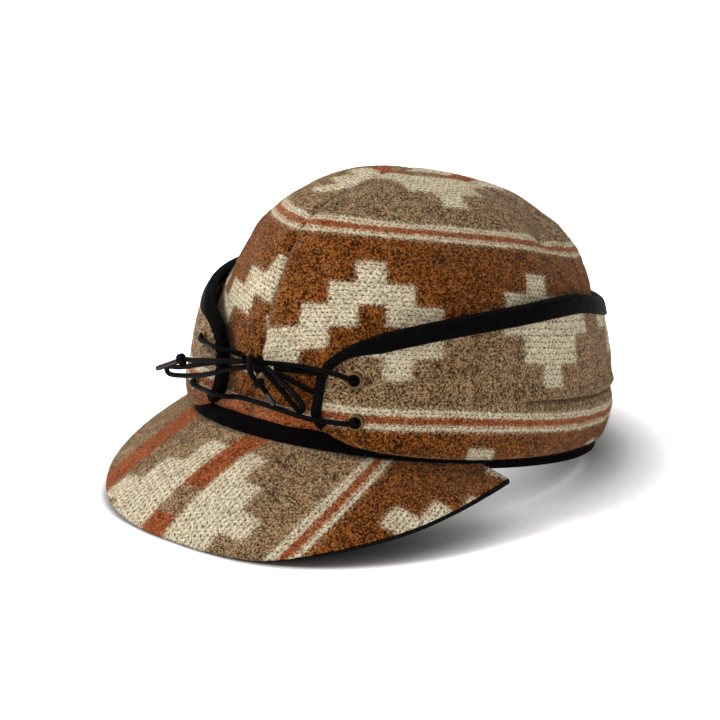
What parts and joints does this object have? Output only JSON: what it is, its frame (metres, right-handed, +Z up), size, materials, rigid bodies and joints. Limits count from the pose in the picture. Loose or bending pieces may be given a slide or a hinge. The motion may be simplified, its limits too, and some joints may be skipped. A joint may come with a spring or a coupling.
{
  "type": "railroad engineer cap with fold-down earband",
  "caption": "Wool railroad engineer cap with a curved visor, a padded fold-down earband bound in black, and a lace tied in a bow through eyelets in front.",
  "frame": {"origin": "on the surface the cap rests on, at the middle of the cap's footprint box", "axes": "+Z up, -Y towards the visor, +X towards the wearer's left"},
  "size_m": [0.1956, 0.2622, 0.1434],
  "materials": {
    "crown_wool": "brushed blanket wool with a rust, taupe and cream stepped pattern",
    "visor_wool": "brushed blanket wool over a stiff sheet, with the same pattern",
    "earband_wool": "brushed blanket wool, doubled and padded, with the same pattern",
    "black_binding": "matt black cotton twill tape",
    "waxed_lace": "black braided cord, lightly waxed",
    "eyelet_brass": "antique brass, darkened, worn bright on the rim",
    "lace_tip": "dark clear plastic wrap, glossy"
  },
  "bodies": {
    "root": {"crown_left": "crown_wool", "crown_back": "crown_wool", "crown_right": "crown_wool", "visor": "visor_wool", "earband_left": "earband_wool", "earband_binding_left": "black_binding", "eyelet_upper_left": "eyelet_brass", "eyelet_lower_left": "eyelet_brass", "lace_loop_left": "waxed_lace", "lace_tail_left": "waxed_lace", "lace_end_knot_left": "waxed_lace", "aglet_left": "lace_tip", "earband_right": "earband_wool", "earband_binding_right": "black_binding", "eyelet_upper_right": "eyelet_brass", "eyelet_lower_right": "eyelet_brass", "lace_loop_right": "waxed_lace", "lace_tail_right": "waxed_lace", "lace_end_knot_right": "waxed_lace", "aglet_right": "lace_tip", "rim_band": "black_binding", "lace": "waxed_lace", "lace_knot": "waxed_lace"}
  },
  "joints": []
}
